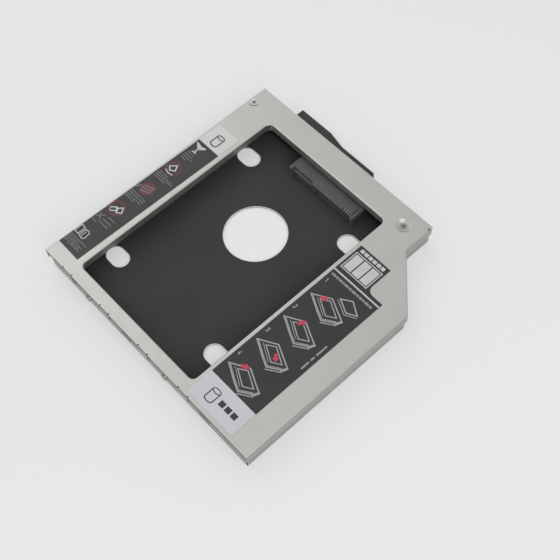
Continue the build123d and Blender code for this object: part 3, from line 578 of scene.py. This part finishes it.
class Skin:
    """Thin faces in one mesh. Places are in mm: X, and Y behind the front edge."""

    def __init__(self, turn=0.0, centre=Vector((0, 0, 0)), top=STICKER_TOP):
        self.mesh = bmesh.new()
        self.height = top + LIFT
        self.matrix = (
            Matrix.Translation(centre) @ Matrix.Rotation(turn, 4, "Z") @ Matrix.Translation(-centre)
        )

    def flat(self, points):
        """A flat face from its corner points."""
        places = [(x * MM, behind(y), self.height) for x, y in points]
        return self.mesh.faces.new([self.mesh.verts.new(place) for place in places])

    def flat_oval(self, x, y, half_x, half_y):
        """A flat oval face round a middle point."""
        middle = Matrix.Translation((x * MM, behind(y), self.height))
        reach = Matrix.Diagonal((half_x * MM, half_y * MM, 1.0, 1.0))
        made = bmesh.ops.create_circle(
            self.mesh, cap_ends=True, segments=ROUND_STEPS, radius=1.0, matrix=middle @ reach
        )
        return made["verts"][0].link_faces[0]

    def edge_of(self, face, width):
        """Takes the middle out of a face and leaves a border of even width."""
        face.normal_update()
        border = bmesh.ops.inset_region(
            self.mesh, faces=[face], thickness=width * MM, use_even_offset=True, use_boundary=True
        )
        bmesh.ops.delete(self.mesh, geom=[face], context="FACES_ONLY")
        return border["faces"]

    def thicken(self, faces, layers):
        """Gives flat faces the thickness of one or more layers of ink."""
        raised = bmesh.ops.extrude_face_region(self.mesh, geom=faces)
        tops = [v for v in raised["geom"] if isinstance(v, bmesh.types.BMVert)]
        bmesh.ops.translate(self.mesh, verts=tops, vec=(0, 0, layers * INK))


print("ink", round(INK / MM, 3), "mm thick, on a sticker at", round(STICKER_TOP / MM, 2))

# %% Marks of one colour


class Marks(Skin):
    """The shapes that print is made of, in one mesh and so in one colour."""

    def outline(self, points, layers=1):
        """One filled shape."""
        self.thicken([self.flat(points)], layers)

    def bar(self, x0, x1, y0, y1):
        """A plain rectangle."""
        self.outline(corners(x0, x1, y0, y1))

    def stroke(self, points, width, layers=1):
        """An open line of even width."""
        self.outline(line_outline(points, width), layers)

    def border(self, points, width, layers=1):
        """A closed line of even width, inside the corner points."""
        self.thicken(self.edge_of(self.flat(points), width), layers)

    def disc(self, x, y, radius):
        """A filled circle."""
        self.thicken([self.flat_oval(x, y, radius, radius)], layers=1)

    def ring(self, x, y, half_x, half_y, width, layers=1):
        """An oval line of even width."""
        self.thicken(self.edge_of(self.flat_oval(x, y, half_x, half_y), width), layers)


# %% [markdown]
# One object per mark would fill the scene with hundreds of them, so all marks of one colour
# join into one piece. Its place stays in its mesh and its object at the origin, where
# patterns on object coordinates lie still. It rides on the caddy, which moves as one body.

# %% From marks to a piece


def make_piece(marks, name, material):
    """Turns marks into a piece that rides on the caddy."""
    bmesh.ops.transform(marks.mesh, matrix=marks.matrix, verts=marks.mesh.verts)
    bmesh.ops.recalc_face_normals(marks.mesh, faces=marks.mesh.faces)
    data = bpy.data.meshes.new(name)
    marks.mesh.to_mesh(data)
    marks.mesh.free()
    data.materials.append(material)
    piece = add_object(name, data)
    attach(piece, BODY)
    print(name, "faces", len(data.polygons))


# %% [markdown]
# Screen ink is a thin, slightly uneven coat with a soft gloss. A single flat colour would
# look like a screen and not like print. Eight inks cover both stickers, and the same helper
# makes them all from a darker and a lighter shade.

# %% Inks


def ink(name, dark, light):
    """A printed colour."""
    return surface(
        name, srgb(*dark), srgb(*light), rough=(0.36, 0.44), mottle_scale=300.0, bump=0.05,
        specular=0.35,
    )


white_ink = ink("white_ink", (186, 186, 187), (198, 198, 199))
grey_ink = ink("grey_ink", (150, 151, 151), (166, 166, 166))
faint_ink = ink("faint_ink", (108, 110, 109), (122, 123, 122))
caption_ink = ink("caption_ink", (132, 133, 133), (148, 149, 149))
black_ink = ink("black_ink", (42, 42, 44), (50, 50, 52))
drum_ink = ink("drum_ink", (72, 72, 74), (82, 82, 84))
red_ink = ink("red_ink", (182, 54, 80), (198, 66, 92))
dull_red_ink = ink("dull_red_ink", (92, 44, 50), (108, 54, 60))
print("inks:", [m.name for m in bpy.data.materials if m.name.endswith("_ink")])

# %% [markdown]
# ## Print on the panel
# The panel tells the user in four numbered drawings how the drive goes in. Each could be drawn
# on its own. All four show the same tray seen from one corner, so one helper draws it: the
# outer rim with its cut corner, the window, and the thickness of its near side.

# %% Drawing of a tray
LINE = 0.55
WINDOW_LINE, CORNER_LINE, SIDE_LINE = 0.8 * LINE, 1.4 * LINE, 0.6 * LINE
TRAY_RIM = [
    (-9.2, 0.5), (-1.2, -3.6), (3.1, -5.5), (8.7, -1.7), (9.6, 0.6), (-0.7, 5.3), (-2.3, 4.4),
]
TRAY_WINDOW = [(-4.6, 1.3), (2.9, -2.7), (7.2, 0.0), (-0.6, 3.9)]
TRAY_CORNER = [(8.0, -2.2), (8.8, -1.7), (9.7, 0.6)]
TRAY_LINES = (
    # line along the near side, the ledge inside it, and the foot of the short side
    ([(-7.6, 0.6), (-1.0, -2.8), (2.9, -4.5), (7.9, -1.2)], 0.3),
    ([(-5.7, 1.2), (2.2, -3.2)], 0.25),
    ([(3.4, -6.2), (9.1, -2.4)], 0.45),
)


def moved(points, x, y, size=1.0):
    """Points of a drawing, scaled and then moved to its place."""
    return [(x + px * size, y + py * size) for px, py in points]


def tray_drawing(marks, x, y):
    """A line drawing of the caddy, seen from one corner, round a middle point."""
    marks.border(moved(TRAY_RIM, x, y), LINE)
    marks.border(moved(TRAY_WINDOW, x, y), WINDOW_LINE)
    for points, width in TRAY_LINES:
        marks.stroke(moved(points, x, y), width)
    marks.stroke(moved(TRAY_CORNER, x, y), CORNER_LINE, layers=2)


print("tray drawing of", 3 + len(TRAY_LINES), "lines")

# %% [markdown]
# Each drawing has its number. A font could set it, as text turned into a mesh. A handful of
# straight strokes on a grid one unit wide and two units high looks as plain as a small printed
# digit does, and it needs far fewer faces.

# %% Digits
DIGIT_LINE = 0.32
DIGITS = {
    1: [[(0.2, 1.6), (0.6, 2.0), (0.6, 0.0)]],
    2: [[(0.0, 1.7), (0.3, 2.0), (0.8, 2.0), (1.0, 1.5), (0.0, 0.0), (1.0, 0.0)]],
    3: [[(0.0, 2.0), (1.0, 2.0), (0.4, 1.2), (1.0, 0.9), (0.9, 0.1), (0.0, 0.0)]],
    4: [[(0.7, 2.0), (0.0, 0.6), (1.0, 0.6)], [(0.7, 0.4), (0.7, 0.0)]],
}


def digit(marks, number, x, y, size):
    """A plain digit with its lower left corner at a place."""
    for points in DIGITS[number]:
        marks.stroke(moved(points, x, y, size), DIGIT_LINE)


print("digits:", list(DIGITS))

# %% [markdown]
# The four drawings differ in what moves. The first shows the drive beside its tray, and a
# coloured arrow in each shows which way to push. The arrows are three layers thick, so that
# none of their faces shares a plane with the grey lines that they cross.

# %% Drawings, digits and arrows on the panel
DRAWING_X = 38.2
DIGIT_X, DIGIT_SIZE = 29.0, 0.9
ARROW_LAYERS = 3
DRIVE_PLACE = 44.7, 74.0
DRIVE_TOP = [(-5.5, -0.4), (1.2, -3.6), (6.0, -1.1), (-0.5, 2.8)]
DRIVE_SIDE = [(-5.5, -1.3), (1.2, -4.5), (6.0, -2.0)]
ARROW = [(-1.9, -0.7), (0.0, -0.7), (0.0, -1.5), (1.9, 0.0), (0.0, 1.5), (0.0, 0.7), (-1.9, 0.7)]
STEPS = (
    # drawing's middle, digit's foot, arrow's middle and its direction in degrees
    (66.3, 74.9, (35.0, 69.0), 25.0),
    (51.2, 57.2, (36.9, 54.9), 65.0),
    (36.4, 41.9, (41.0, 36.6), -42.0),
    (21.3, 26.9, (35.6, 25.3), 25.0),
)

drawings = Marks()
arrows = Marks()
for number, (tray_y, digit_y, arrow_middle, direction) in enumerate(STEPS, start=1):
    tray_drawing(drawings, DRAWING_X, tray_y)
    digit(drawings, number, DIGIT_X, digit_y, DIGIT_SIZE)
    along = Matrix.Rotation(radians(direction), 2)
    arrow = [along @ Vector(point) for point in ARROW]
    arrows.outline(moved(arrow, *arrow_middle), ARROW_LAYERS)
drawings.border(moved(DRIVE_TOP, *DRIVE_PLACE), LINE)
drawings.stroke(moved(DRIVE_SIDE, *DRIVE_PLACE), SIDE_LINE)
make_piece(drawings, "panel_drawings", grey_ink)
make_piece(arrows, "panel_arrows", red_ink)

# %% [markdown]
# The head of the panel has a framed field with tall blocks in it and a row of small ones
# behind it, and a line runs across the panel in front of it. Plain bars and one border make
# all of that. The small blocks are evenly spaced, so a pitch stands for their places.

# %% Fields of the panel
HEAD_FIELD = corners(28.5, 43.6, 84.4, 94.4)
FIELD_LINE = 0.45
TALL_BLOCKS = ((29.4, 33.5), (34.1, 38.1), (38.7, 42.7))
SMALL_BLOCKS = 6
SMALL_LEFT, SMALL_WIDTH, SMALL_PITCH = 29.2, 1.9, 2.35
SIDE_GAP = 0.05
# front and back of the tall blocks, the small blocks and the line across
TALL_ROW, SMALL_ROW, CROSS_LINE = (85.3, 93.5), (95.2, 96.9), (81.7, 82.4)

fields = Marks()
fields.border(HEAD_FIELD, FIELD_LINE)
for left, right in TALL_BLOCKS:
    fields.bar(left, right, *TALL_ROW)
for i in range(SMALL_BLOCKS):
    left = SMALL_LEFT + SMALL_PITCH * i
    fields.bar(left, left + SMALL_WIDTH, *SMALL_ROW)
fields.bar(panel_low[0] / MM + SIDE_GAP, panel_high[0] / MM - SIDE_GAP, *CROSS_LINE)
make_piece(fields, "panel_fields", white_ink)

# %% [markdown]
# Rows of short bars lie in front of the line and beside the drawings. Bars of one length would
# look like a dashed line, so their lengths go round a short list. The same helper fills the
# strip on the left further down.

# %% Rows of bars
BAR_LENGTHS = (2.3, 1.2, 1.7, 0.9, 2.0, 1.4)
SHORTEST_BAR = 0.3


def bar_row(marks, left, right, y, height, gap):
    """A row of plain bars of different lengths, with even gaps."""
    lengths = cycle(BAR_LENGTHS)
    while left < right - SHORTEST_BAR:
        end = min(left + next(lengths), right)
        marks.bar(left, end, y - height / 2, y + height / 2)
        left = end + gap


SIDE_COLUMN = (51.0, 51.8)
SIDE_BARS = ((40.6, 44.8), (45.8, 47.9), (48.9, 54.8))

captions = Marks()
bar_row(captions, left=28.6, right=51.9, y=79.7, height=1.05, gap=0.35)
for start, stop in SIDE_BARS:
    captions.bar(*SIDE_COLUMN, start, stop)
make_piece(captions, "panel_captions", caption_ink)

# %% [markdown]
# The silver foot shows the usual sign for a disk store, a drum in outline, and three plain
# blocks beside it. A drum could be spun in three dimensions, but the sign is flat: an oval
# for the lid, and one open line for the sides and the rounded foot. Both stickers carry it,
# so it is a helper too.

# %% Drum sign
FOOT_STEPS = 14
BLOCK_LEFTS = (39.9, 43.4, 46.9)
BLOCK_WIDTH = 2.7
BLOCK_ROW = (6.9, 9.4)


def drum(marks, x, y, half_width, height, line):
    """The sign for a disk store, round a middle point."""
    lid_half = half_width / 2
    lid_line = 0.8 * line
    top, foot = y + height / 2, y - height / 2
    reach = half_width - line / 2
    marks.ring(x, top, half_width, lid_half, lid_line, layers=2)
    turns = [pi + pi * i / FOOT_STEPS for i in range(FOOT_STEPS + 1)]
    bowl = [(x + reach * cos(turn), foot + lid_half * sin(turn)) for turn in turns]
    marks.stroke([(x - reach, top)] + bowl + [(x + reach, top)], line)


panel_sign = Marks()
drum(panel_sign, x=35.8, y=8.1, half_width=2.3, height=4.4, line=0.5)
for left in BLOCK_LEFTS:
    panel_sign.bar(left, left + BLOCK_WIDTH, *BLOCK_ROW)
make_piece(panel_sign, "panel_sign", black_ink)

# %% [markdown]
# ## Print on the strip
# The strip on the left is stuck on slightly askew, and its print is askew with it. Every
# point could be worked out turned. It is easier to lay the marks out straight and to turn
# them about the strip's middle in one go. The white signs are plain outlines: a cup on a
# stem, tiles and two plates. Where two of them cross, one is two layers thick.

# %% Strip signs
STRIP_TURN = radians(-0.66)
STRIP_CENTRE = Vector(((strip_low[0] + strip_high[0]) / 2, (strip_low[1] + strip_high[1]) / 2, 0))
CUP = [
    (-62.0, 83.6), (-58.9, 83.0), (-56.6, 83.7), (-56.3, 83.0), (-58.3, 81.0), (-59.7, 81.0),
    (-62.4, 83.2),
]
CUP_STEM = [(-59.0, 81.2), (-59.0, 78.6)]
CUP_FOOT = [(-60.4, 78.4), (-57.8, 78.6)]
TILE = [(-61.1, 66.0), (-59.0, 64.1), (-56.4, 65.8), (-58.3, 69.0)]
TILE_BASE = [(-60.8, 63.7), (-58.4, 63.1), (-55.9, 63.5)]
LEFT_TILE = [(-62.2, 33.4), (-60.4, 31.7), (-57.9, 34.0), (-59.4, 35.9)]
RIGHT_TILE = [(-59.0, 35.5), (-57.6, 33.0), (-55.1, 34.8), (-57.1, 37.6)]
LEFT_PLATE = [(-62.9, 14.8), (-60.2, 14.8), (-60.2, 19.2), (-62.9, 19.4)]
RIGHT_PLATE = [
    (-59.7, 14.8), (-57.0, 14.4), (-56.2, 15.4), (-56.6, 18.6), (-57.8, 19.2), (-59.7, 18.9),
]
PLATE_SLIT = [(-58.4, 15.4), (-58.4, 18.2)]
TILE_LINE, PAIR_LINE, PLATE_LINE = 0.6, 0.55, 0.4

strip_signs = Marks(STRIP_TURN, STRIP_CENTRE)
strip_signs.outline(CUP)
strip_signs.stroke(CUP_STEM, width=0.7)
strip_signs.stroke(CUP_FOOT, width=0.5, layers=2)
strip_signs.border(TILE, TILE_LINE)
strip_signs.stroke(TILE_BASE, width=0.5, layers=2)
strip_signs.border(LEFT_TILE, PAIR_LINE)
strip_signs.border(RIGHT_TILE, PAIR_LINE, layers=2)
strip_signs.border(LEFT_PLATE, PLATE_LINE)
strip_signs.border(RIGHT_PLATE, PLATE_LINE)
strip_signs.stroke(PLATE_SLIT, width=0.3, layers=2)
make_piece(strip_signs, "strip_signs", white_ink)

# %% [markdown]
# Two rings in dull red stand round some of the signs, and a disc lies between them. A torus
# would be far too thick, so an inset circle makes each ring, as it does for the drum's lid.
# Faint lines run over the disc, one lies beside it, and two cross nearer the front.

# %% Strip rings
RING_LINE = 0.8
DISC_LINE = [(-60.2, 49.9), (-56.6, 51.2), (-55.2, 52.2)]
DISC_SHIFTS = (-1.5, 0.0, 1.5)
BESIDE_DISC = [(-62.6, 48.2), (-61.3, 50.6)]
CROSS_RIGHT = [(-62.4, 26.2), (-59.6, 29.4)]
CROSS_LEFT = [(-59.7, 26.0), (-62.2, 29.0)]

strip_rings = Marks(STRIP_TURN, STRIP_CENTRE)
strip_rings.ring(-58.4, 66.3, 3.8, 3.8, RING_LINE)
strip_rings.disc(-57.7, 51.1, radius=3.5)
strip_rings.ring(-59.0, 35.0, 4.0, 4.0, RING_LINE)
make_piece(strip_rings, "strip_rings", dull_red_ink)

ring_lines = Marks(STRIP_TURN, STRIP_CENTRE)
for shift in DISC_SHIFTS:
    ring_lines.stroke(moved(DISC_LINE, 0.0, shift), width=0.5, layers=2)
ring_lines.stroke(BESIDE_DISC, width=0.6)
ring_lines.stroke(CROSS_RIGHT, width=0.5)
ring_lines.stroke(CROSS_LEFT, width=0.4, layers=2)
make_piece(ring_lines, "strip_ring_lines", faint_ink)

# %% [markdown]
# Rows of thin bars fill the places between the signs, and the drum comes back on the silver
# end. An Array modifier could repeat a row, but no two rows end in the same place. So the rows
# are one list, and each line of it holds a group of rows as they lie on the strip.

# %% Strip rows and drum
STRIP_ROWS = (
    # Y, left end, right end
    (77.0, -61.4, -57.8), (75.7, -61.6, -57.0), (74.4, -61.6, -55.3), (73.1, -61.6, -58.4),
    (61.4, -62.0, -56.4), (60.3, -62.0, -52.0), (59.3, -62.0, -51.6), (58.2, -62.0, -55.0),
    (46.0, -62.4, -53.2), (44.8, -62.4, -52.6), (43.5, -62.6, -53.6), (42.4, -62.6, -57.0),
    (29.6, -57.8, -53.4), (27.4, -58.8, -53.4), (25.6, -59.4, -53.2), (24.2, -62.6, -59.4),
    (13.2, -63.0, -52.2), (12.2, -63.0, -56.0), (11.3, -63.0, -52.8), (10.4, -63.0, -53.6),
    (9.5, -63.0, -52.6),
)

strip_print = Marks(STRIP_TURN, STRIP_CENTRE)
for y, left, right in STRIP_ROWS:
    bar_row(strip_print, left, right, y, height=0.42, gap=0.3)
make_piece(strip_print, "strip_print", faint_ink)

strip_sign = Marks(STRIP_TURN, STRIP_CENTRE)
drum(strip_sign, x=-56.4, y=90.2, half_width=2.3, height=4.3, line=0.65)
make_piece(strip_sign, "strip_sign", drum_ink)

# %% [markdown]
# ## Marks on the drive socket
# Near its right end, the top of the socket has narrow slots in which the tails of the last
# contacts show as light ticks, one contact pitch apart. A groove sets the rounded end off
# from the rest. The ticks are painted glints on the contact tails, and the dark slots and the
# groove are painted shade of their depth. They could be cut into the housing, but all of them
# are finer than a pixel or two and their depth can't be seen, so thin skins are enough.

# %% Socket marks
CONTACT_PITCH = 1.27
TICKS = 4
FIRST_TICK = -6.0   # from the socket's right end
# left, right, front and back of each mark, from its place and from the socket's front
TICK = (-0.15, 0.25, 0.9, 2.4)
SLOT = (-0.75, -0.2, 0.6, 2.2)
GROOVE = (-2.0, -1.5, 1.1, 6.0)
socket_low, socket_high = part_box("socket_housing")
socket_right = socket_high[0] / MM
socket_front = (socket_low[1] - FRONT) / MM


def socket_bar(marks, x, left, right, front, back):
    """A bar on top of the socket."""
    marks.bar(x + left, x + right, socket_front + front, socket_front + back)


# Painted glints on the contact tails.
contact_glint = surface(
    "contact_glint", srgb(118, 120, 118), srgb(132, 134, 132), rough=(0.4, 0.5), mottle_scale=300.0,
)
# Painted shade in the slots and the groove.
slot_shade = surface(
    "slot_shade", srgb(26, 28, 28), srgb(32, 34, 34), rough=(0.5, 0.6), mottle_scale=300.0,
    specular=0.1,
)
ticks = Marks(top=socket_high[2])
slots = Marks(top=socket_high[2])
for i in range(TICKS):
    x = socket_right + FIRST_TICK + CONTACT_PITCH * i
    socket_bar(ticks, x, *TICK)
    socket_bar(slots, x, *SLOT)
socket_bar(slots, socket_right, *GROOVE)
make_piece(ticks, "socket_ticks", contact_glint)
make_piece(slots, "socket_slots", slot_shade)

# %% [markdown]
# ## Bright bend
# The bend at the rear of the window catches the light in one thin bright line, where the sheet
# has just begun to turn down. A lamp placed for that line alone would also brighten the rest
# of the lid, so the line is a thin skin. A node's box doesn't tell where its openings are, so
# the window's sides are written here once more.

# %% Line along the rear bend of the window
WINDOW_LEFT, WINDOW_RIGHT, WINDOW_REAR = -47.3, 25.6, 113.9
WINDOW_CORNER = 2.5
BEND_START, BEND_STOP = 0.35, 0.72   # behind the window's rear side

bright_bend = surface(
    "bright_bend", srgb(206, 206, 203), srgb(216, 216, 213), rough=(0.35, 0.42), mottle_scale=200.0,
)
bend = Marks(top=LID_TOP)
bend.bar(
    WINDOW_LEFT + WINDOW_CORNER, WINDOW_RIGHT - WINDOW_CORNER,
    WINDOW_REAR + BEND_START, WINDOW_REAR + BEND_STOP,
)
make_piece(bend, "window_bend_line", bright_bend)

# %% [markdown]
# ## Dip round the left screw
# The left screw pulls the sheet down a little round its head. The dip is too shallow to model,
# and its near side shows only as a thin dark crescent of painted shade. A ring would be as wide
# at its ends as in its middle, so the crescent has an even outer arc and an inner one that
# draws away from it.

# %% Crescent at the left screw
HEAD_RADIUS = 1.75
DIP_RADIUS = 2.35
DIP_TURN, DIP_SPAN = -50.0, 150.0   # middle and length of the crescent, in degrees
DIP_TIP, DIP_WIDTH = 0.06, 0.6      # width at its ends, and what its middle adds
DIP_STEPS = 16

screws_low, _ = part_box("lid_screws")
screw_x = screws_low[0] / MM + HEAD_RADIUS
screw_y = (screws_low[1] - FRONT) / MM + HEAD_RADIUS
dip_shade = surface(
    "dip_shade", srgb(98, 104, 98), srgb(110, 116, 110), rough=(0.4, 0.5), mottle_scale=300.0,
)
outer_arc, inner_arc = [], []
for i in range(DIP_STEPS + 1):
    share = i / DIP_STEPS
    angle = radians(DIP_TURN + DIP_SPAN * (share - 0.5))
    inner = DIP_RADIUS - DIP_TIP - DIP_WIDTH * sin(pi * share)
    outer_arc.append((screw_x + DIP_RADIUS * cos(angle), screw_y + DIP_RADIUS * sin(angle)))
    inner_arc.append((screw_x + inner * cos(angle), screw_y + inner * sin(angle)))
dip = Marks(top=LID_TOP)
dip.outline(outer_arc + inner_arc[::-1])
make_piece(dip, "left_screw_dip", dip_shade)
print("left screw at", round(screw_x, 2), round(screw_y, 2))

# %% [markdown]
# ## Floor and room
# The caddy lies on a plain pale floor. Brighter lamps would whiten the floor but wash out the
# sheet as well. Instead, to the camera and to glossy and transmission rays, the floor adds a
# share of plain white and the room is white. The rest of the floor's own colour still takes
# the caddy's shadow.

# %% Shares of plain white


def background_rays(tree, share):
    """Share of white for rays from the camera, from glossy metal and through clear parts."""
    rays = tree.nodes.new("ShaderNodeLightPath").outputs
    seen = calculate(tree, "MAXIMUM", rays["Is Camera Ray"], rays["Is Glossy Ray"])
    seen = calculate(tree, "MAXIMUM", seen, rays["Is Transmission Ray"])
    return calculate(tree, "MULTIPLY", seen, share)


def mix_shaders(tree, factor, first, second):
    """One shader for some rays and another for the rest."""
    node = tree.nodes.new("ShaderNodeMixShader")
    for socket, output in zip(node.inputs, (factor, first.outputs[0], second.outputs[0])):
        tree.links.new(output, socket)
    return node.outputs[0]


# %% Floor
FLOOR_HALF = 3.0
FLOOR_GAP = 0.1 * MM
FLOOR_GREY = (0.7, 0.7, 0.7, 1.0)
FLOOR_WHITE = 0.4
WHITE = (1.0, 1.0, 1.0, 1.0)

floor_mesh = bpy.data.meshes.new("floor")
bm = bmesh.new()
bmesh.ops.create_grid(bm, x_segments=1, y_segments=1, size=FLOOR_HALF)
bmesh.ops.translate(bm, verts=bm.verts, vec=(0, 0, cad_low[2] - FLOOR_GAP))
bm.to_mesh(floor_mesh)
bm.free()
floor = add_object("floor", floor_mesh)

floor_material, tree, shader = new_material("pale_floor")
shader.inputs["Base Color"].default_value = FLOOR_GREY
shader.inputs["Roughness"].default_value = 0.9
white = add_node(tree, "ShaderNodeEmission", Color=WHITE, Strength=1.0)
floor_surface = mix_shaders(tree, background_rays(tree, FLOOR_WHITE), shader, white)
tree.links.new(floor_surface, tree.nodes["Material Output"].inputs["Surface"])
floor_mesh.materials.append(floor_material)
print("floor", 2 * FLOOR_HALF, "m wide")

# %% [markdown]
# The room is a world of one even colour. A picture of a studio could stand there, but bare
# metal would mirror every lamp and window in it. Even white keeps the lid as plain as in the
# photograph, and the room lights the caddy less strongly than it shows.

# %% Room
ROOM_LIGHT = 0.6

world = bpy.data.worlds.new("room")
bpy.context.scene.world = world
world.use_nodes = True
tree = world.node_tree
tree.nodes.clear()
lit = add_node(tree, "ShaderNodeBackground", Color=WHITE, Strength=ROOM_LIGHT)
shown = add_node(tree, "ShaderNodeBackground", Color=WHITE, Strength=1.0)
room = mix_shaders(tree, background_rays(tree, 1.0), lit, shown)
tree.links.new(room, tree.nodes.new("ShaderNodeOutputWorld").inputs["Surface"])
print("room set")

# %% [markdown]
# ## Lamps
# The photograph has soft, even light from above with a little more from the right. One hard
# lamp would throw dark shadows into the window. Two wide, weak area lamps and the pale room
# give a level at which a written colour renders about as it is written.

# %% Lamps
LAMP_SIZE = 0.7
LAMPS = {
    # place in metres, and power in watts
    "overhead": ((-0.6, 0.05, 0.73), 1.4),
    "side_fill": ((0.62, -0.25, 0.7), 3.4),
}
for name, (place, power) in LAMPS.items():
    lamp_data = bpy.data.lights.new(name, "AREA")
    lamp_data.shape = "SQUARE"
    lamp_data.size = LAMP_SIZE
    lamp_data.energy = power
    lamp = add_object(name, lamp_data)
    lamp.location = place
    lamp.rotation_euler = (-Vector(place)).to_track_quat("-Z", "Y").to_euler()
    print("lamp", name, power, "W")

# %% [markdown]
# The default view transform bends bright colours towards white, as film does. Standard leaves
# them alone, so a finish shows the colour that was written for it.

# %% View transform
bpy.context.scene.view_settings.view_transform = "Standard"
print("view transform:", bpy.context.scene.view_settings.view_transform)
